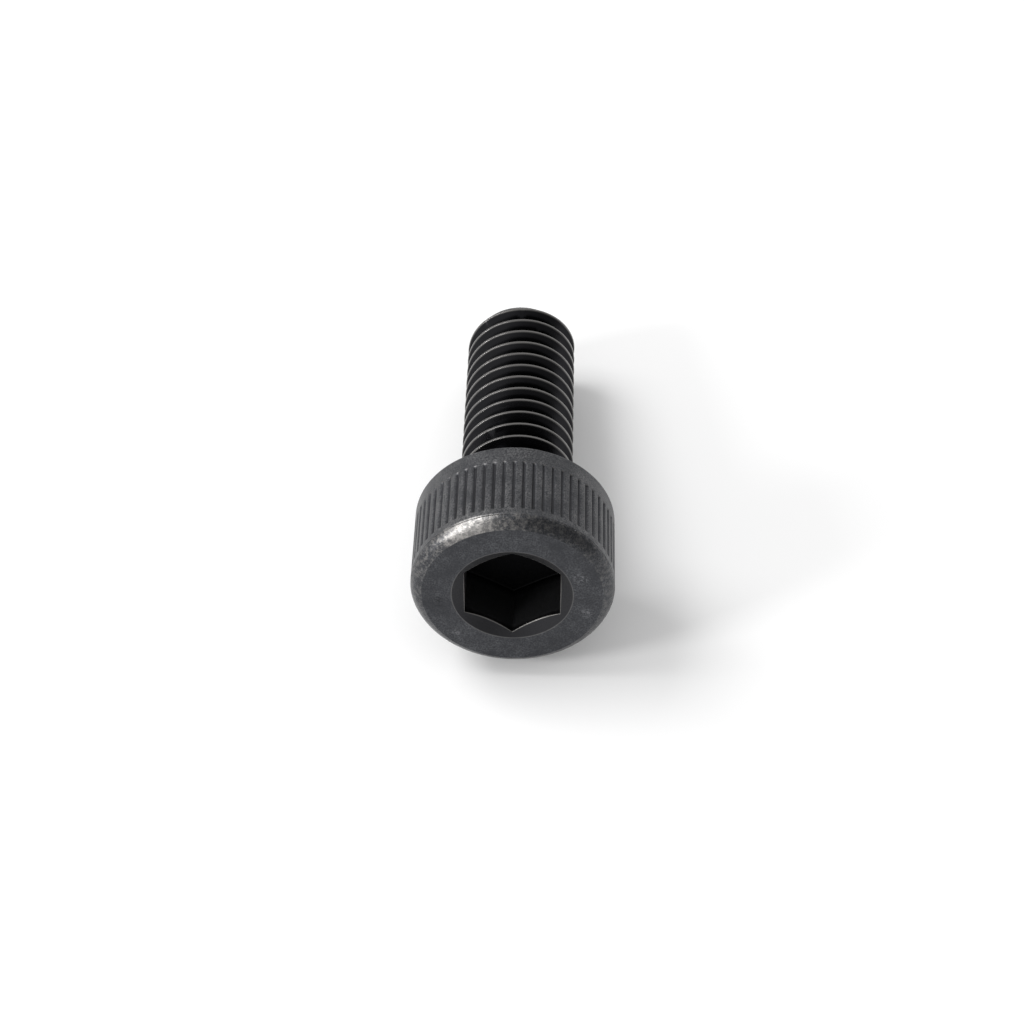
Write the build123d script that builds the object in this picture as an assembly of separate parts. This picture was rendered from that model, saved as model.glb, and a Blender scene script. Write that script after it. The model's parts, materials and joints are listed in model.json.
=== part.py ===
from build123d import *
import math
import os

# A hexagon socket head cap screw, M5 x 12, forged and thread-rolled in one piece, so it is one solid.
# It is first made upright on its own axis: the bearing face under the head is at height 0, the head
# stands above it and the shank hangs below. Then it is laid on its side, as it comes to rest on a
# table: on the rim of its head and on the last full turn of its thread.

# Shank. The thread is carried at its full outside diameter; its fine turns are not cut here.
thread_diameter = 4.96
neck_relief = 0.24
shank_length = 12.0
neck_length = 1.2
washer_clearance = 0.06
tip_chamfer = 0.48

# Head
head_diameter = 8.64
head_height = 4.85
face_edge_width = 0.50
face_edge_depth = 0.52
face_edge_bulge = 0.07
bearing_edge = 0.34

# Straight knurl round the head, between two plain bands: one by the face, one by the bearing side
knurl_grooves = 64
groove_width = 0.20
groove_depth = 0.11
face_band = 0.30
bearing_band = 1.18

# Socket: the key that drives it, its play in the socket, the shallow forged bottom, and the
# countersunk mouth, which reaches a little past the corners of the hexagon
key_across_flats = 4.0
key_play = 0.05
socket_depth = 2.6
socket_bottom_cone = 0.3
mouth_margin = 0.23
mouth_half_angle = 60.0

head_radius = head_diameter / 2
thread_radius = thread_diameter / 2
socket_across_flats = key_across_flats + key_play
socket_corner_radius = socket_across_flats / math.sqrt(3)

# The fillet under the head ends just outside the thread, so a washer passes it and seats flat.
neck_fillet = neck_relief + washer_clearance


def turned_profile():
    """Half section of the head and the shank, from the axis outwards, closed along the axis."""
    neck_radius = thread_radius - neck_relief
    face_radius = head_radius - face_edge_width
    edge_middle = (face_radius + head_radius) / 2 + face_edge_bulge
    edge_middle_height = head_height - face_edge_depth / 2 + face_edge_bulge
    with BuildSketch(Plane.XZ) as section:
        with BuildLine():
            Line((0, head_height), (face_radius, head_height))
            ThreePointArc(
                (face_radius, head_height),
                (edge_middle, edge_middle_height),
                (head_radius, head_height - face_edge_depth),
            )
            Polyline(
                (head_radius, head_height - face_edge_depth),
                (head_radius, bearing_edge),
                (head_radius - bearing_edge, 0),
                (neck_radius + neck_fillet, 0),
            )
            RadiusArc(
                (neck_radius + neck_fillet, 0),
                (neck_radius, -neck_fillet),
                -neck_fillet,
            )
            Polyline(
                (neck_radius, -neck_fillet),
                (neck_radius, -neck_length),
                (thread_radius, -neck_length - neck_relief),
                (thread_radius, tip_chamfer - shank_length),
                (thread_radius - tip_chamfer, -shank_length),
                (0, -shank_length),
                (0, head_height),
            )
        make_face()
    return revolve(section.sketch, Axis.Z)


def hexagon_socket():
    """The hollow that the key fills: hexagon, shallow cone at the bottom, countersunk mouth."""
    mouth_radius = socket_corner_radius + mouth_margin
    slope = math.tan(math.radians(mouth_half_angle))
    hexagon = RegularPolygon(socket_across_flats / 2, 6, major_radius=False, rotation=30)
    walls = Pos(0, 0, head_height - socket_depth) * extrude(hexagon, socket_depth)
    bottom = Pos(0, 0, head_height - socket_depth) * extrude(hexagon, -socket_bottom_cone)
    hollow_cone = Pos(0, 0, head_height - socket_depth - socket_bottom_cone / 2) * Cone(
        0, socket_corner_radius, socket_bottom_cone
    )
    countersink = Pos(0, 0, head_height - mouth_radius / slope / 2) * Cone(
        0, mouth_radius, mouth_radius / slope
    )
    return walls + (bottom & hollow_cone) + countersink


def knurl_cutters():
    """One V groove with sloped ends for each groove of the knurl, set evenly round the head."""
    lowest = bearing_band
    highest = head_height - face_edge_depth - face_band
    root = head_radius - groove_depth
    clear = head_radius + groove_depth
    vee = Polygon((root, 0), (clear, -groove_width), (clear, groove_width), align=None)
    run = Pos(0, 0, lowest) * extrude(vee, highest - lowest)
    ends = Plane.XZ * Polygon(
        (root, lowest + groove_depth),
        (clear, lowest - groove_depth),
        (clear, highest + groove_depth),
        (root, highest - groove_depth),
        align=None,
    )
    groove = run & extrude(ends, groove_width, both=True)
    return [Rot(0, 0, i * 360 / knurl_grooves) * groove for i in range(knurl_grooves)]


def lay_down(screw):
    """Tip the upright screw onto its side, head towards -Y, and set it on the ground at the origin."""
    rise = head_radius - thread_radius
    reach = shank_length - tip_chamfer + bearing_edge
    tilt = math.degrees(math.atan2(rise, reach))
    lying = Rot(90 - tilt, 0, 0) * screw
    box = lying.bounding_box()
    return Pos(-box.center().X, -box.center().Y, -box.min.Z) * lying


cap_screw = turned_profile() - hexagon_socket() - knurl_cutters()
cap_screw = lay_down(cap_screw)

os.makedirs("parts", exist_ok=True)
export_step(cap_screw, "parts/cap_screw.step")
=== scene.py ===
import json
import math

import bmesh
import bpy
from mathutils import Matrix, Vector


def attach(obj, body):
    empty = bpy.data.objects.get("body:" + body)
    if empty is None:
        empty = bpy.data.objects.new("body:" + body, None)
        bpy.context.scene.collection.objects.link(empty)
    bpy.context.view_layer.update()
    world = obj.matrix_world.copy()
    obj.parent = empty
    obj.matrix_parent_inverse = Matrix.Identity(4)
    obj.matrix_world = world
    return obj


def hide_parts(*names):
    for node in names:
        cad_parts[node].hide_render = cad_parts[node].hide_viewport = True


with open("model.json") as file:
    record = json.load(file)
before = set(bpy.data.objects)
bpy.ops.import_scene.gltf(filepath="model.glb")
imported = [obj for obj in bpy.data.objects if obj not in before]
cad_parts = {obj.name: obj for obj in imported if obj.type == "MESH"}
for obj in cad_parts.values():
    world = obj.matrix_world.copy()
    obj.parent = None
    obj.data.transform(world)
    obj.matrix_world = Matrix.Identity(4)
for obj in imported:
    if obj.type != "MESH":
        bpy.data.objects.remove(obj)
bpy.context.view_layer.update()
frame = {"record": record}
scene = bpy.context.scene


# ---- Camera ---------------------------------------------------------------------------------------
# A long lens, above and in front of the head, which looks down along the shank. The screw is shaped
# upright, as it is gauged: its bearing face at height 0, the head above it and the shank below. Then
# it is laid down where the frame's mounts say, and the lens is placed by the same turn.
MM = 0.001
mounts = {mount["name"]: mount for mount in frame["record"]["mounts"]}
shank_middle = Vector(mounts["shank"]["pos_m"])
head_way = -Vector(mounts["shank"]["axis"]).normalized()
seat_point = Vector(mounts["bearing_face"]["pos_m"])
seat = shank_middle + (seat_point - shank_middle).dot(head_way) * head_way
sideways = Vector((1, 0, 0))
upright_axes = Matrix((sideways, head_way.cross(sideways), head_way)).transposed().to_4x4()
laid_down = Matrix.Translation(seat) @ upright_axes

lens_azimuth = math.radians(1.55)
lens_elevation = math.radians(43.54)
lens_distance = 103.6 * MM
aim = Vector((-0.148, 0, -0.257)) * MM
lens_way = Vector((
    math.sin(lens_azimuth) * math.cos(lens_elevation),
    math.sin(lens_elevation),
    math.cos(lens_azimuth) * math.cos(lens_elevation),
))
lens_right = Vector((0, 1, 0)).cross(lens_way).normalized()
lens_axes = Matrix((lens_right, lens_way.cross(lens_right), lens_way)).transposed().to_4x4()

camera_data = bpy.data.cameras.new("camera")
camera_data.sensor_width = 36
camera_data.lens = 83.55
camera_data.clip_start = 1 * MM
camera_data.clip_end = 20
camera = bpy.data.objects.new("camera", camera_data)
camera.matrix_world = laid_down @ Matrix.Translation(aim + lens_distance * lens_way) @ lens_axes
scene.collection.objects.link(camera)
scene.camera = camera


# ---- Table top and light --------------------------------------------------------------------------
# A smooth white board, painted matt, which the screw lies on. Two soft boxes at the left and a white
# room light it. Its faint glow, for the lens and for the metal, keeps it near white.
def add(tree, kind, links=None, **settings):
    """Add a node with its settings. An input takes a value, a socket, or a node's first output."""
    made = tree.nodes.new(kind)
    for name, value in settings.items():
        setattr(made, name, value)
    for name, value in (links or {}).items():
        if isinstance(name, str):
            entry = next(i for i in made.inputs if i.name == name and i.enabled)
        else:
            entry = made.inputs[name]
        if isinstance(value, bpy.types.Node):
            value = next(socket for socket in value.outputs if socket.enabled)
        if isinstance(value, bpy.types.NodeSocket):
            tree.links.new(value, entry)
        else:
            entry.default_value = value
    return made


def colour(hex_code):
    """An sRGB hex colour as the linear colour that the shader takes."""
    channels = [int(hex_code[i:i + 2], 16) / 255 for i in (1, 3, 5)]
    linear = [c / 12.92 if c <= 0.04045 else ((c + 0.055) / 1.055) ** 2.4 for c in channels]
    return (*linear, 1)


board = bpy.data.materials.new("matt_white_board")
board.use_nodes = True
tree = board.node_tree
tree.nodes.clear()
rays = add(tree, "ShaderNodeLightPath").outputs
paint = add(tree, "ShaderNodeBsdfDiffuse", {"Color": colour("#F2F2F2")})
glow = add(tree, "ShaderNodeEmission", {"Color": colour("#FFFFFF"), "Strength": 0.05})
seen = add(
    tree, "ShaderNodeMath", {0: rays["Is Camera Ray"], 1: rays["Is Glossy Ray"]},
    operation="MAXIMUM",
)
dark = add(tree, "ShaderNodeEmission", {"Strength": 0.0})
lift = add(tree, "ShaderNodeMixShader", {0: seen, 1: dark, 2: glow})
both = add(tree, "ShaderNodeAddShader", {0: paint, 1: lift})
add(tree, "ShaderNodeOutputMaterial", {"Surface": both})

board_half = 1.5
table = bpy.data.meshes.new("table_top")
table.from_pydata(
    [(-board_half, -board_half, 0), (board_half, -board_half, 0),
     (board_half, board_half, 0), (-board_half, board_half, 0)],
    [],
    [(0, 1, 2, 3)],
)
table.materials.append(board)
floor = bpy.data.objects.new("table_top", table)
scene.collection.objects.link(floor)

# Each soft box: the way to it from the screw, the width of its square face, and its watts
lamp_distance = 300 * MM
lamps = (
    ("soft_box", (-0.60, 0.20, 0.77), 150 * MM, 0.52),
    ("front_box", (-0.80, -0.36, 0.47), 60 * MM, 0.30),
)
for name, towards, width, power in lamps:
    lamp_way = Vector(towards).normalized()
    light = bpy.data.lights.new(name, "AREA")
    light.shape = "SQUARE"
    light.size = width
    light.energy = power
    lamp = bpy.data.objects.new(name, light)
    lamp_turn = lamp_way.to_track_quat("Z", "Y").to_matrix().to_4x4()
    lamp.matrix_world = Matrix.Translation(lamp_way * lamp_distance) @ lamp_turn
    scene.collection.objects.link(lamp)

# The room is white all round. A grey screen at the right in front of the screw is there for the
# metal's reflections only, and the board gets a little less light than the lens sees.
room = bpy.data.worlds.new("white_room")
room.use_nodes = True
tree = room.node_tree
tree.nodes.clear()
screen_way = Vector((0.74, -0.42, 0.53)).normalized()
around = add(tree, "ShaderNodeTexCoord").outputs["Generated"]
facing_screen = add(
    tree, "ShaderNodeVectorMath", {0: around, 1: screen_way}, operation="DOT_PRODUCT",
).outputs["Value"]
screened = add(
    tree, "ShaderNodeMapRange",
    {"Value": facing_screen, "From Min": 0.35, "From Max": 0.92, "To Min": 1.0, "To Max": 0.30},
    interpolation_type="SMOOTHSTEP",
)
rays = add(tree, "ShaderNodeLightPath").outputs
for_metal, for_board, for_lens = [
    add(tree, "ShaderNodeBackground", {"Color": colour("#FFFFFF"), "Strength": strength})
    for strength in (screened, 0.64, 1.0)
]
lit = add(tree, "ShaderNodeMixShader", {0: rays["Is Glossy Ray"], 1: for_board, 2: for_metal})
seen = add(tree, "ShaderNodeMixShader", {0: rays["Is Camera Ray"], 1: lit, 2: for_lens})
add(tree, "ShaderNodeOutputWorld", {"Surface": seen})
scene.world = room
scene.view_settings.view_transform = "Standard"


# ---- Cap screw ------------------------------------------------------------------------------------
# A hexagon socket head cap screw, M5 x 12, of alloy steel. The head is cold forged, its socket is
# pressed in by a hexagonal punch, and its straight knurl and its thread are rolled. It is one piece
# of steel, modelled as two outlines swept round one axis, which meet at the neck under the head.
head_radius = 4.32 * MM
head_height = 4.85 * MM
face_radius = 3.82 * MM
edge_foot = 4.33 * MM
knurl_start = 1.18 * MM
knurl_end = 4.03 * MM
hexagon_half = 2.025 * MM
hexagon_corner = hexagon_half / math.cos(math.pi / 6)
mouth_radius = hexagon_corner + 0.23 * MM
mouth_slope = 1 / math.tan(math.radians(60))
socket_floor = 1.95 * MM
socket_floor_slope = 0.3 * MM / hexagon_corner
socket_wall_foot = socket_floor + hexagon_half * socket_floor_slope
socket_wall_top = head_height - (mouth_radius - hexagon_half) * mouth_slope
neck_radius = 2.24 * MM
neck_height = -1.2 * MM
thread_radius = 2.48 * MM
shank_end = -12 * MM

# Black oxide steel: hardened, then blackened in a hot salt bath and oiled. The oxide is a dark grey
# skin a few microns thick: matt with a fine speckle on the forged head, glossier on the thread.
steel = bpy.data.materials.new("black_oxide_steel")
steel.use_nodes = True
tree = steel.node_tree
tree.nodes.clear()
lying = add(tree, "ShaderNodeTexCoord").outputs["Object"]
upright = add(
    tree, "ShaderNodeMapping",
    {"Vector": lying, "Location": laid_down.translation, "Rotation": laid_down.to_euler()},
    vector_type="TEXTURE",
)
split = add(tree, "ShaderNodeSeparateXYZ", {0: upright}).outputs
level = split["Z"]
flat = add(tree, "ShaderNodeCombineXYZ", {"X": split["X"], "Y": split["Y"]})
far = add(tree, "ShaderNodeVectorMath", {0: flat}, operation="LENGTH").outputs["Value"]

# Parts of the surface, told by height or by distance from the axis. Each is a share from 0 at its
# first limit to 1 at its second.
limits = {
    "shank": (level, 0.02 * MM, -0.25 * MM),
    "below_face": (level, head_height - 0.35 * MM, head_height - 0.50 * MM),
    "in_hexagon": (far, hexagon_corner + 0.06 * MM, hexagon_corner + 0.02 * MM),
    "in_mouth": (far, mouth_radius, mouth_radius - 0.03 * MM),
    "socket_wall": (level, socket_wall_foot + 0.05 * MM, socket_wall_foot + 0.49 * MM),
    "groove_depth": (far, head_radius - 0.02 * MM, head_radius - 0.08 * MM),
    "knurl_crest": (far, head_radius - 0.050 * MM, head_radius - 0.005 * MM),
    "thread_crest": (far, thread_radius - 0.050 * MM, thread_radius - 0.015 * MM),
    "past_face": (far, face_radius - 0.01 * MM, face_radius + 0.02 * MM),
    "past_edge_foot": (level, edge_foot - 0.09 * MM, edge_foot + 0.07 * MM),
}
zone = {
    name: add(tree, "ShaderNodeMapRange", {"Value": value, "From Min": start, "From Max": end})
    for name, (value, start, end) in limits.items()
}
sides = {
    "in_head": (level, 0.5 * MM, "GREATER_THAN"),
    "on_side": (far, head_radius - 0.22 * MM, "GREATER_THAN"),
    "under_knurl_end": (level, knurl_end + 0.07 * MM, "LESS_THAN"),
    "over_knurl_start": (level, knurl_start - 0.08 * MM, "GREATER_THAN"),
}
for name, (value, limit, test) in sides.items():
    zone[name] = add(tree, "ShaderNodeMath", {0: value, 1: limit}, operation=test)

# Speckle: the oxide's grains are some microns across, and are drawn ten times coarser, to show
grain = add(
    tree, "ShaderNodeTexNoise",
    {"Vector": upright, "Scale": 1 / (0.07 * MM), "Detail": 3.0, "Roughness": 0.75},
)
clouds = add(
    tree, "ShaderNodeTexNoise",
    {"Vector": upright, "Scale": 1 / (0.9 * MM), "Detail": 4.0, "Roughness": 0.6},
)
mottle = add(tree, "ShaderNodeMapRange", {"Value": grain, "From Min": 0.40, "From Max": 0.64})
patches = add(
    tree, "ShaderNodeMapRange",
    {"Value": clouds, "From Min": 0.35, "From Max": 0.65, "To Min": 0.25, "To Max": 1.0},
)
speckle = add(tree, "ShaderNodeMath", {0: mottle, 1: patches}, operation="MULTIPLY")
oxide = add(
    tree, "ShaderNodeMix", {"Factor": speckle, "A": colour("#37383B"), "B": colour("#5A5B5E")},
    data_type="RGBA",
)
# Painted shade in the socket: its walls are painted nearly black at the floor, and lighter towards
# the mouth
socket_painted_shade = add(
    tree, "ShaderNodeMix",
    {"Factor": zone["socket_wall"], "A": colour("#171718"), "B": colour("#58585A")},
    data_type="RGBA",
)

# Rubbing: scratches all round the edge of the face, and one place on its upper left, worn through to
# bright steel, which is also a painted highlight: there the edge is painted lighter and more rubbed,
# standing for the lamps' reflection
scratch = add(
    tree, "ShaderNodeTexNoise",
    {"Vector": upright, "Scale": 1 / (0.20 * MM), "Detail": 6.0, "Roughness": 0.8},
)
scratched = add(
    tree, "ShaderNodeMapRange", {"Value": scratch, "From Min": 0.47, "From Max": 0.60},
)
# The middle of the worn place, which is also where the highlight is painted
worn_and_highlight_spot = (-1.75 * MM, 3.57 * MM, 4.6 * MM)
from_spot = add(
    tree, "ShaderNodeVectorMath", {0: upright, 1: worn_and_highlight_spot}, operation="DISTANCE",
).outputs["Value"]
worn_through_and_highlight = add(
    tree, "ShaderNodeMapRange",
    {"Value": from_spot, "From Min": 1.9 * MM, "From Max": 0.3 * MM, "To Max": 0.5},
    interpolation_type="SMOOTHSTEP",
)
# The rubbing grows towards the spot, as part of the painted highlight
rub_and_highlight_share = add(
    tree, "ShaderNodeMapRange",
    {"Value": from_spot, "From Min": 4.5 * MM, "From Max": 1.0 * MM, "To Min": 0.35, "To Max": 0.9},
)
rub = add(
    tree, "ShaderNodeMath", {0: scratched, 1: worn_through_and_highlight}, operation="ADD", use_clamp=True,
)
# Bare steel, painted lighter still towards the spot, as a highlight
bare_steel_and_highlight = add(
    tree, "ShaderNodeMix",
    {"Factor": worn_through_and_highlight, "A": colour("#807E7C"), "B": colour("#B9B6B2")},
    data_type="RGBA",
)

# Each share is a product: where on the screw it is, and how strong it is there
# How strongly shade is painted into the knurl's grooves, and how much the thread's crests and the
# knurl are rubbed
groove_shade = 0.7
crest_rub = 0.6
knurl_rub = 0.35
products = {
    "socket": (zone["below_face"], zone["in_hexagon"]),
    "countersink": (zone["in_mouth"], zone["in_head"]),
    "groove": (
        zone["groove_depth"], zone["on_side"], zone["under_knurl_end"],
        zone["over_knurl_start"], groove_shade,
    ),
    "edge": (zone["past_face"], zone["past_edge_foot"]),
    "rubbed_and_highlit_edge": (zone["past_face"], zone["past_edge_foot"], rub, rub_and_highlight_share),
    "rubbed_crest": (zone["thread_crest"], zone["shank"], crest_rub),
    "rubbed_knurl": (zone["knurl_crest"], speckle, knurl_rub),
}
for name, (first, *others) in products.items():
    for other in others:
        first = add(tree, "ShaderNodeMath", {0: first, 1: other}, operation="MULTIPLY")
    zone[name] = first

# The lines along the hexagon, the mouth and the knurl's lip are marked on the mesh, as "wear"
wear_and_highlight = add(tree, "ShaderNodeAttribute", attribute_name="wear").outputs["Fac"]
for name in ("rubbed_and_highlit_edge", "rubbed_crest", "rubbed_knurl"):
    wear_and_highlight = add(tree, "ShaderNodeMath", {0: wear_and_highlight, 1: zone[name]}, operation="MAXIMUM")

# Oxide by place, with painted shade: the countersink, the socket and the knurl's grooves are painted
# darker, as the shade in these hollows, and the thread is darkest, which holds oil. Wear, and the
# painted highlight at the face's edge, lie over it.
finish = oxide
for share, tint in (
    (zone["countersink"], colour("#333335")),
    (zone["socket"], socket_painted_shade),
    (zone["groove"], colour("#29292B")),
    (zone["shank"], colour("#262628")),
    (wear_and_highlight, bare_steel_and_highlight),
):
    finish = add(
        tree, "ShaderNodeMix", {"Factor": share, "A": finish, "B": tint}, data_type="RGBA",
    )

# Scuffs on the face: three knocks that left it lighter, and a stain. Each has its middle, reach and
# colour.
scuffs = (
    ((2.87 * MM, 1.13 * MM, head_height), 0.42 * MM, "#77777A"),
    ((3.12 * MM, -0.96 * MM, head_height), 0.35 * MM, "#6E6E71"),
    ((-3.13 * MM, -0.40 * MM, head_height), 0.45 * MM, "#2C2C2E"),
    ((-2.40 * MM, -2.30 * MM, head_height), 0.30 * MM, "#6A6A6D"),
)
streaks = add(
    tree, "ShaderNodeTexNoise",
    {"Vector": upright, "Scale": 1 / (0.16 * MM), "Detail": 5.0, "Distortion": 1.2},
)
flecks = add(tree, "ShaderNodeMapRange", {"Value": streaks, "From Min": 0.52, "From Max": 0.57})
for middle, reach, shade in scuffs:
    apart = add(
        tree, "ShaderNodeVectorMath", {0: upright, 1: middle}, operation="DISTANCE",
    ).outputs["Value"]
    near = add(tree, "ShaderNodeMapRange", {"Value": apart, "From Min": reach, "From Max": 0.0})
    near = add(tree, "ShaderNodeMath", {0: near, 1: flecks}, operation="MULTIPLY")
    finish = add(
        tree, "ShaderNodeMix", {"Factor": near, "A": finish, "B": colour(shade)},
        data_type="RGBA",
    )

# The head is matt. Rolling leaves the thread glossy, with hardly any tooth, and rubbing polishes the
# edge of the face.
thread_roughness = 0.21
edge_roughness = 0.30
thread_tooth = 0.15
tooth_height = 0.012 * MM
rough = add(
    tree, "ShaderNodeMapRange",
    {"Value": grain, "From Min": 0.3, "From Max": 0.7, "To Min": 0.36, "To Max": 0.50},
)
for share, value in ((zone["shank"], thread_roughness), (zone["edge"], edge_roughness)):
    rough = add(
        tree, "ShaderNodeMix", {"Factor": share, "A": rough, "B": value}, data_type="FLOAT",
    )
tooth = add(
    tree, "ShaderNodeMix", {"Factor": zone["shank"], "A": 1.0, "B": thread_tooth},
    data_type="FLOAT",
)
bumps = add(
    tree, "ShaderNodeBump", {"Strength": tooth, "Distance": tooth_height, "Height": grain},
)
surface = add(
    tree, "ShaderNodeBsdfPrincipled",
    {"Base Color": finish, "Metallic": 1.0, "Roughness": rough, "Normal": bumps},
)
add(tree, "ShaderNodeOutputMaterial", {"Surface": surface})

# Points nearer to each other than this are one point
weld = 1e-4 * MM


def outline(name, corners, margin):
    """A line of (radius, height, rounding, steps) corners, as the mesh that a tree sweeps.

    A rounded corner gets a point on each side, `margin` past the end of its rounding, which keeps
    the straight stretches between corners straight to the eye too.
    """
    points = []
    roundings = []
    steps = []
    for i, (radius, height, rounding, count) in enumerate(corners):
        here = Vector((radius, height))
        if not rounding:
            points.append(here)
            roundings.append(0.0)
            steps.append(1)
            continue
        back = (Vector(corners[i - 1][:2]) - here).normalized()
        on = (Vector(corners[i + 1][:2]) - here).normalized()
        reach = rounding * math.tan((math.pi - back.angle(on)) / 2) + margin
        points += [here + back * reach, here, here + on * reach]
        roundings += [0.0, rounding, 0.0]
        steps += [1, count, 1]
    line = bpy.data.meshes.new(name)
    vertices = [(point.x, 0, point.y) for point in points]
    line.from_pydata(vertices, [(i, i + 1) for i in range(len(points) - 1)], [])
    line.attributes.new("rounding", "FLOAT", "POINT").data.foreach_set("value", roundings)
    line.attributes.new("steps", "INT", "POINT").data.foreach_set("value", steps)
    made = bpy.data.objects.new(name, line)
    scene.collection.objects.link(made)
    return made


def new_tree(name, inputs):
    """A geometry tree with one geometry in and out, and one named input for each value."""
    tree = bpy.data.node_groups.new(name, "GeometryNodeTree")
    tree.interface.new_socket("Geometry", in_out="OUTPUT", socket_type="NodeSocketGeometry")
    tree.interface.new_socket("Geometry", in_out="INPUT", socket_type="NodeSocketGeometry")
    for label, value in inputs.items():
        kind = "NodeSocketInt" if isinstance(value, int) else "NodeSocketFloat"
        tree.interface.new_socket(label, in_out="INPUT", socket_type=kind)
    return tree


def sweep(tree, size):
    """Round the outline's corners, and lay a grid: its points by the columns round the axis.

    Each column climbs with its angle, by one pitch a turn, and the outline repeats every pitch.
    Gives the grid, and the column, turn, angle, radius and height of each of its points.
    """
    line = add(tree, "GeometryNodeMeshToCurve", {"Mesh": size["Geometry"]})
    rounding = add(tree, "GeometryNodeInputNamedAttribute", {"Name": "rounding"})
    steps = add(tree, "GeometryNodeInputNamedAttribute", {"Name": "steps"}, data_type="INT")
    soft = add(
        tree, "GeometryNodeFilletCurve", {"Curve": line, "Count": steps, "Radius": rounding},
        mode="POLY",
    )
    counted = add(tree, "GeometryNodeAttributeDomainSize", {"Geometry": soft}, component="CURVE")
    count = counted.outputs["Point Count"]
    whole = "FunctionNodeIntegerMath"
    rows = add(tree, whole, {0: count, 1: size["Turns"]}, operation="MULTIPLY")
    wide = add(tree, whole, {0: size["Columns"], 1: 1}, operation="ADD")
    grid = add(
        tree, "GeometryNodeMeshGrid",
        {"Size X": 1.0, "Size Y": 1.0, "Vertices X": wide, "Vertices Y": rows},
    )
    index = add(tree, "GeometryNodeInputIndex")
    column = add(tree, whole, {0: index, 1: rows}, operation="DIVIDE_FLOOR")
    row = add(tree, whole, {0: index, 1: rows}, operation="MODULO")
    turn = add(tree, whole, {0: row, 1: count}, operation="DIVIDE_FLOOR")
    point = add(tree, whole, {0: row, 1: count}, operation="MODULO")

    # In the last row, columns gather in bunches, to meet a sweep that has fewer of them
    bunch = add(tree, whole, {0: size["Columns"], 1: size["End columns"]}, operation="DIVIDE")
    nearest = add(tree, whole, {0: column, 1: bunch}, operation="DIVIDE_ROUND")
    gathered = add(tree, whole, {0: nearest, 1: bunch}, operation="MULTIPLY")
    last_row = add(tree, whole, {0: rows, 1: 1}, operation="SUBTRACT")
    is_last = add(
        tree, "ShaderNodeMath", {0: row, 1: last_row, 2: 0.5}, operation="COMPARE",
    )
    placed = add(
        tree, "ShaderNodeMix", {"Factor": is_last, "A": column, "B": gathered}, data_type="FLOAT",
    )
    round_share = add(
        tree, "ShaderNodeMath", {0: placed, 1: size["Columns"]}, operation="DIVIDE",
    )
    angle = add(tree, "ShaderNodeMath", {0: round_share, 1: math.tau}, operation="MULTIPLY")
    position = add(tree, "GeometryNodeInputPosition")
    sampled = add(
        tree, "GeometryNodeSampleIndex", {"Geometry": soft, "Value": position, "Index": point},
        data_type="FLOAT_VECTOR",
    )
    split = add(tree, "ShaderNodeSeparateXYZ", {0: sampled})
    climbed = add(tree, "ShaderNodeMath", {0: turn, 1: round_share}, operation="ADD")
    height = add(
        tree, "ShaderNodeMath", {0: climbed, 1: size["Pitch"], 2: split.outputs["Z"]},
        operation="MULTIPLY_ADD",
    )
    return grid, column, turn, angle, split.outputs["X"], height.outputs[0]


def close_up(tree, grid, angle, radius, height, wear):
    """Set the grid's points round the axis, join its edges, and finish the tree.

    The wear of each point, from 0 to 1, is kept with it, for the finish to read.
    """
    east = add(tree, "ShaderNodeMath", {0: angle}, operation="COSINE")
    north = add(tree, "ShaderNodeMath", {0: angle}, operation="SINE")
    x = add(tree, "ShaderNodeMath", {0: east, 1: radius}, operation="MULTIPLY")
    y = add(tree, "ShaderNodeMath", {0: north, 1: radius}, operation="MULTIPLY")
    place = add(tree, "ShaderNodeCombineXYZ", {"X": x, "Y": y, "Z": height})
    marked = add(
        tree, "GeometryNodeStoreNamedAttribute", {"Geometry": grid, "Name": "wear", "Value": wear},
        data_type="FLOAT", domain="POINT",
    )
    swept = add(tree, "GeometryNodeSetPosition", {"Geometry": marked, "Position": place})
    joined = add(tree, "GeometryNodeMergeByDistance", {"Geometry": swept, "Distance": weld})
    smooth = add(tree, "GeometryNodeSetShadeSmooth", {"Geometry": joined})
    real = add(tree, "GeometryNodeRealizeInstances", {"Geometry": smooth})
    coated = add(tree, "GeometryNodeSetMaterial", {"Geometry": real, "Material": steel})
    add(tree, "NodeGroupOutput", {"Geometry": coated})


def grown(host, tree, sizes):
    """Run a tree on its outline, and give the result as a plain mesh."""
    live = host.modifiers.new(tree.name, "NODES")
    live.node_group = tree
    for item in tree.interface.items_tree:
        if item.in_out == "INPUT" and item.name in sizes:
            live[item.identifier] = sizes[item.name]
    depsgraph = bpy.context.evaluated_depsgraph_get()
    plain = bpy.data.meshes.new_from_object(host.evaluated_get(depsgraph))
    host.modifiers.remove(live)
    bpy.data.objects.remove(host)
    return plain


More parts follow.
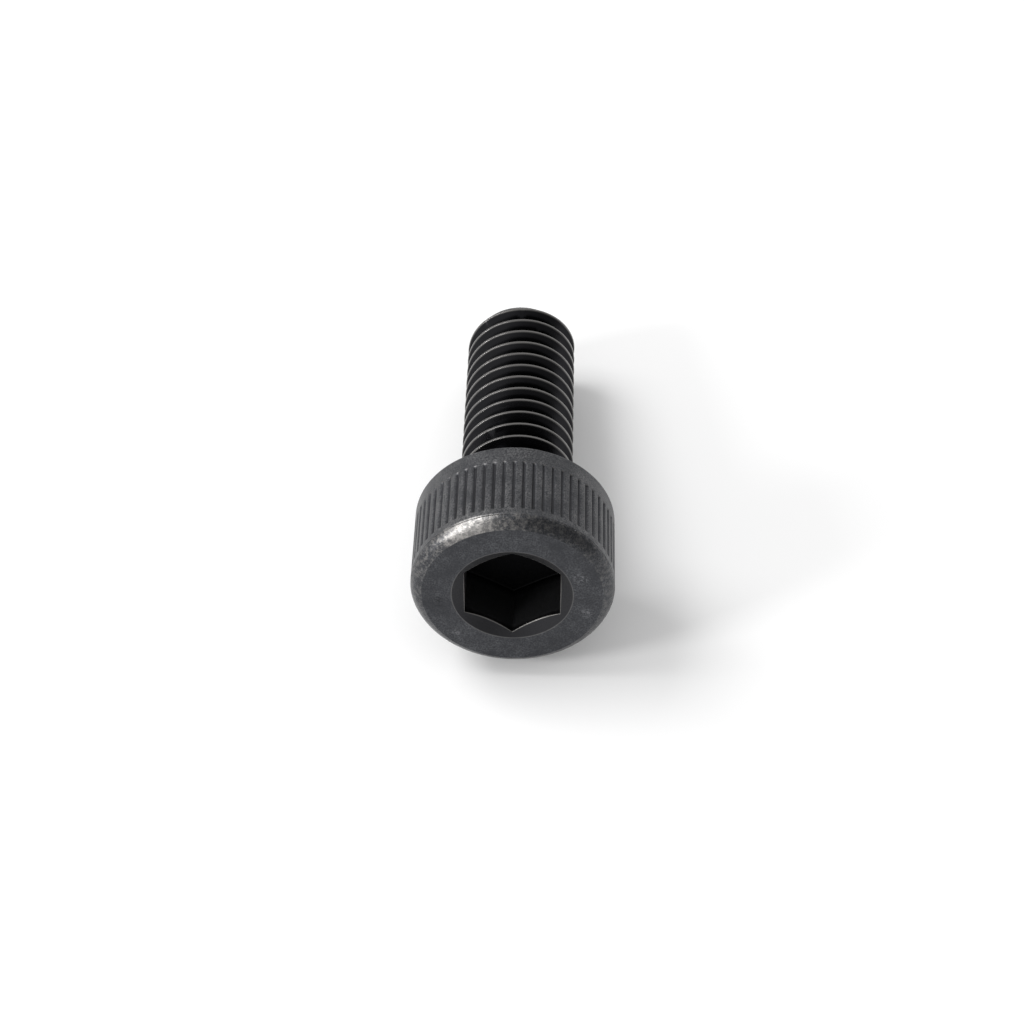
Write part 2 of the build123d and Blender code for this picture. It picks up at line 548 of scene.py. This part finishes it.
# Head: up the socket from its floor, over the face and the rounded edge, down the knurled side,
# across the bearing face, and down the neck
bearing_radius = 3.98 * MM
foot_bevel = 0.34 * MM
groove_depth = 0.11 * MM
head_corners = [
    (0, socket_floor, 0, 1),
    (hexagon_half, socket_wall_foot, 0.06 * MM, 3),
    (hexagon_half, socket_wall_top, 0.04 * MM, 3),
    (mouth_radius, head_height, 0.05 * MM, 3),
    (face_radius, head_height, 0.03 * MM, 3),
    (4.159 * MM, 4.676 * MM, 0.85 * MM, 9),
    (head_radius, edge_foot, 0.15 * MM, 3),
    (head_radius, knurl_end, 0, 1),
    (head_radius, knurl_end - groove_depth / 2, 0, 1),
    (head_radius, knurl_end - groove_depth, 0, 1),
    (head_radius, knurl_start + groove_depth, 0, 1),
    (head_radius, knurl_start + groove_depth / 2, 0, 1),
    (head_radius, knurl_start, 0, 1),
    (head_radius, knurl_start - 0.04 * MM, 0, 1),
    (head_radius, foot_bevel, 0.08 * MM, 3),
    (bearing_radius, 0, 0.06 * MM, 3),
    (neck_radius, 0, 0.30 * MM, 6),
    (neck_radius, neck_height, 0, 1),
]
head_sizes = {
    "Columns": 576,
    "End columns": 144,
    "Turns": 1,
    "Pitch": 0.0,
    "Hexagon half": hexagon_half,
    "Mouth radius": mouth_radius,
    "Socket floor": 0.9 * socket_floor,
    "Wall foot": socket_wall_foot,
    "Wall top": socket_wall_top,
    "Grooves": 64,
    "Groove depth": groove_depth,
    "Groove half share": 0.236,
    "Shallowest": 0.8,
    "Deepest": 1.12,
    "Knurl start": knurl_start,
    "Knurl end": knurl_end,
    "Knurl radius": 0.99 * head_radius,
    "Seed": 5,
}
tree = new_tree("forged_head", head_sizes)
size = add(tree, "NodeGroupInput").outputs
grid, _, _, angle, radius, height = sweep(tree, size)

# Inside the mouth the round outline is pushed out to the six corners of the hexagon
fold = add(
    tree, "ShaderNodeMath", {0: angle, 1: math.pi / 6, 2: -math.pi / 6}, operation="WRAP",
)
narrow = add(tree, "ShaderNodeMath", {0: fold}, operation="COSINE")
widened = add(tree, "ShaderNodeMath", {0: 1.0, 1: narrow}, operation="DIVIDE")
excess = add(tree, "ShaderNodeMath", {0: widened, 1: 1.0}, operation="SUBTRACT")
reach = add(
    tree, "ShaderNodeMapRange",
    {"Value": radius, "From Min": size["Mouth radius"], "From Max": size["Hexagon half"],
     "To Min": 0.0, "To Max": size["Hexagon half"]},
)
spread = add(tree, "ShaderNodeMath", {0: radius, 1: reach}, operation="MINIMUM")
push = add(tree, "ShaderNodeMath", {0: excess, 1: spread}, operation="MULTIPLY")
inside = add(
    tree, "ShaderNodeMath", {0: height, 1: size["Socket floor"]}, operation="GREATER_THAN",
)
push = add(tree, "ShaderNodeMath", {0: push, 1: inside}, operation="MULTIPLY")
slope = add(
    tree, "ShaderNodeMapRange",
    {"Value": height, "From Min": size["Wall foot"], "From Max": size["Wall top"],
     "To Min": socket_floor_slope, "To Max": mouth_slope},
)
pushed_height = add(
    tree, "ShaderNodeMath", {0: push, 1: slope, 2: height}, operation="MULTIPLY_ADD",
)
pushed = add(tree, "ShaderNodeMath", {0: radius, 1: push}, operation="ADD")

# Knurl: one V groove after another, each a little deeper or shallower, with sloped ends
beat = add(tree, "ShaderNodeMath", {0: angle, 1: size["Grooves"]}, operation="MULTIPLY")
beat = add(tree, "ShaderNodeMath", {0: beat, 1: math.tau}, operation="DIVIDE")
phase = add(tree, "ShaderNodeMath", {0: beat, 1: 0.5, 2: -0.5}, operation="WRAP")
aside = add(tree, "ShaderNodeMath", {0: phase}, operation="ABSOLUTE")
vee = add(
    tree, "ShaderNodeMapRange",
    {"Value": aside, "From Min": size["Groove half share"], "From Max": 0.0},
)
run_in = add(tree, "ShaderNodeMath", {0: height, 1: size["Knurl start"]}, operation="SUBTRACT")
run_out = add(tree, "ShaderNodeMath", {0: size["Knurl end"], 1: height}, operation="SUBTRACT")
run = add(tree, "ShaderNodeMath", {0: run_in, 1: run_out}, operation="MINIMUM")
ends = add(
    tree, "ShaderNodeMapRange",
    {"Value": run, "From Min": 0.0, "From Max": size["Groove depth"]},
)
cut = add(tree, "ShaderNodeMath", {0: vee, 1: ends}, operation="MINIMUM")
outside = add(
    tree, "ShaderNodeMath", {0: radius, 1: size["Knurl radius"]}, operation="GREATER_THAN",
)
cut = add(tree, "ShaderNodeMath", {0: cut, 1: outside}, operation="MULTIPLY")
groove = add(tree, "ShaderNodeMath", {0: beat}, operation="ROUND")
groove = add(
    tree, "ShaderNodeMath", {0: groove, 1: size["Grooves"]}, operation="FLOORED_MODULO",
)
uneven = add(
    tree, "FunctionNodeRandomValue",
    {2: size["Shallowest"], 3: size["Deepest"], "ID": groove, "Seed": size["Seed"]},
    data_type="FLOAT",
)
deep = add(tree, "ShaderNodeMath", {0: uneven, 1: size["Groove depth"]}, operation="MULTIPLY")
cut = add(tree, "ShaderNodeMath", {0: cut, 1: deep}, operation="MULTIPLY")
knurled = add(tree, "ShaderNodeMath", {0: pushed, 1: cut}, operation="SUBTRACT")

# Wear: a thin line on the hexagon's edge, a fainter one round the mouth, and one on the lip at the
# foot of each groove. Each has its edge, where it starts, where it is full, and how strong it is.
lines = (
    (height, size["Wall top"], 0.025 * MM, 0.012 * MM, 1.0),
    (radius, size["Mouth radius"], 0.020 * MM, 0.008 * MM, 0.35),
    (height, size["Knurl start"], 0.030 * MM, 0.0, 0.6),
)
marks = []
for value, edge, start, full, strength in lines:
    apart = add(tree, "ShaderNodeMath", {0: value, 1: edge}, operation="SUBTRACT")
    apart = add(tree, "ShaderNodeMath", {0: apart}, operation="ABSOLUTE")
    marks.append(add(
        tree, "ShaderNodeMapRange",
        {"Value": apart, "From Min": start, "From Max": full, "To Max": strength},
    ))
hexagon_line, mouth_line, lip = marks
hexagon_line = add(tree, "ShaderNodeMath", {0: hexagon_line, 1: spread}, operation="MULTIPLY")
hexagon_line = add(
    tree, "ShaderNodeMath", {0: hexagon_line, 1: size["Hexagon half"]}, operation="DIVIDE",
)
mouth_line = add(tree, "ShaderNodeMath", {0: mouth_line, 1: inside}, operation="MULTIPLY")
lip = add(tree, "ShaderNodeMath", {0: lip, 1: outside}, operation="MULTIPLY")
lip = add(tree, "ShaderNodeMath", {0: lip, 1: vee}, operation="MULTIPLY")
marked = add(tree, "ShaderNodeMath", {0: hexagon_line, 1: mouth_line}, operation="MAXIMUM")
marked = add(tree, "ShaderNodeMath", {0: marked, 1: lip}, operation="MAXIMUM")
close_up(tree, grid, angle, knurled, pushed_height, marked)
head = grown(outline("head_outline", head_corners, 0.03 * MM), tree, head_sizes)

# Thread: one pitch of its outline, which is repeated along the shank. It runs out under the head,
# and the chamfer at the tip cuts it away.
pitch = 0.8 * MM
crest_half = pitch / 16
root_radius = thread_radius - 0.6134 * pitch
root_half = pitch / 2 - crest_half - (thread_radius - root_radius) * math.tan(math.pi / 6)
thread_corners = [
    (root_radius, -pitch / 2, 0, 1),
    (root_radius, root_half - pitch / 2, 0.09 * MM, 3),
    (thread_radius, -crest_half, 0.02 * MM, 2),
    (thread_radius, crest_half, 0.02 * MM, 2),
    (root_radius, pitch / 2 - root_half, 0.09 * MM, 3),
    (root_radius, pitch / 2, 0, 1),
]
first_crest = -2.69 * MM
turns = 16
thread_sizes = {
    "Columns": 144,
    "End columns": 144,
    "Turns": turns,
    "Pitch": pitch,
    "Start": first_crest - (turns - 3) * pitch,
    "Neck height": neck_height,
    "Neck radius": neck_radius,
    "Run out": 0.7 * MM,
    "Tip height": shank_end,
    "Tip radius": 2.0 * MM,
    "Crest radius": thread_radius - 0.012 * MM,
    "Nick depth": 0.012 * MM,
    "Whole share": 0.985,
    "Seed": 3,
}
tree = new_tree("rolled_thread", thread_sizes)
size = add(tree, "NodeGroupInput").outputs
grid, column, turn, angle, radius, height = sweep(tree, size)
height = add(tree, "ShaderNodeMath", {0: height, 1: size["Start"]}, operation="ADD")
height = add(
    tree, "ShaderNodeClamp",
    {"Value": height, "Min": size["Tip height"], "Max": size["Neck height"]},
)

# Nicks where a crest has been knocked
place = add(
    tree, "FunctionNodeIntegerMath", {0: turn, 1: size["Columns"], 2: column},
    operation="MULTIPLY_ADD",
)
chance = add(
    tree, "FunctionNodeRandomValue", {"ID": place, "Seed": size["Seed"]}, data_type="FLOAT",
)
struck = add(
    tree, "ShaderNodeMath", {0: chance, 1: size["Whole share"]}, operation="GREATER_THAN",
)
on_crest = add(
    tree, "ShaderNodeMath", {0: radius, 1: size["Crest radius"]}, operation="GREATER_THAN",
)
struck = add(tree, "ShaderNodeMath", {0: struck, 1: on_crest}, operation="MULTIPLY")
nick = add(tree, "ShaderNodeMath", {0: struck, 1: size["Nick depth"]}, operation="MULTIPLY")
radius = add(tree, "ShaderNodeMath", {0: radius, 1: nick}, operation="SUBTRACT")

# The run-out fades the thread into the neck, and a chamfer of 45 degrees ends it at the tip
fade_start = add(
    tree, "ShaderNodeMath", {0: size["Neck height"], 1: size["Run out"]}, operation="SUBTRACT",
)
fade = add(
    tree, "ShaderNodeMapRange",
    {"Value": height, "From Min": fade_start, "From Max": size["Neck height"]},
    interpolation_type="SMOOTHSTEP",
)
radius = add(
    tree, "ShaderNodeMix", {"Factor": fade, "A": radius, "B": size["Neck radius"]},
    data_type="FLOAT",
)
above_tip = add(
    tree, "ShaderNodeMath", {0: height, 1: size["Tip height"]}, operation="SUBTRACT",
)
chamfer = add(tree, "ShaderNodeMath", {0: above_tip, 1: size["Tip radius"]}, operation="ADD")
least = add(tree, "ShaderNodeMath", {0: size["Tip radius"], 1: above_tip}, operation="SUBTRACT")
radius = add(tree, "ShaderNodeMath", {0: radius, 1: least}, operation="MAXIMUM")
radius = add(tree, "ShaderNodeMath", {0: radius, 1: chamfer}, operation="MINIMUM")
close_up(tree, grid, angle, radius, height, 0.0)
thread = grown(outline("thread_outline", thread_corners, 0.012 * MM), tree, thread_sizes)

# The two sweeps are joined at the neck, and the tip is closed with the shallow dish that rolling
# leaves: each ring is this much further in, and this much deeper
body = bmesh.new()
body.from_mesh(head)
body.from_mesh(thread)
bmesh.ops.remove_doubles(body, verts=body.verts, dist=weld)
rim = [edge for edge in body.edges if edge.is_boundary]
end = bmesh.ops.edgeloop_fill(body, edges=rim)["faces"]
for width, sink in ((0.05, 0), (0.25, 0), (0.4, 0.03), (0.5, 0.04), (0.5, 0.02)):
    bmesh.ops.inset_region(body, faces=end, thickness=width * MM, depth=-sink * MM)
bmesh.ops.poke(body, faces=end)
bmesh.ops.recalc_face_normals(body, faces=body.faces)
screw_mesh = bpy.data.meshes.new("cap_screw_steel")
body.to_mesh(screw_mesh)
body.free()
screw_mesh.transform(laid_down)
screw_mesh.materials.clear()
screw_mesh.materials.append(steel)
screw_mesh.shade_smooth()
cap_screw = bpy.data.objects.new("cap_screw_steel", screw_mesh)
scene.collection.objects.link(cap_screw)
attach(cap_screw, "root")
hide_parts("cap_screw")
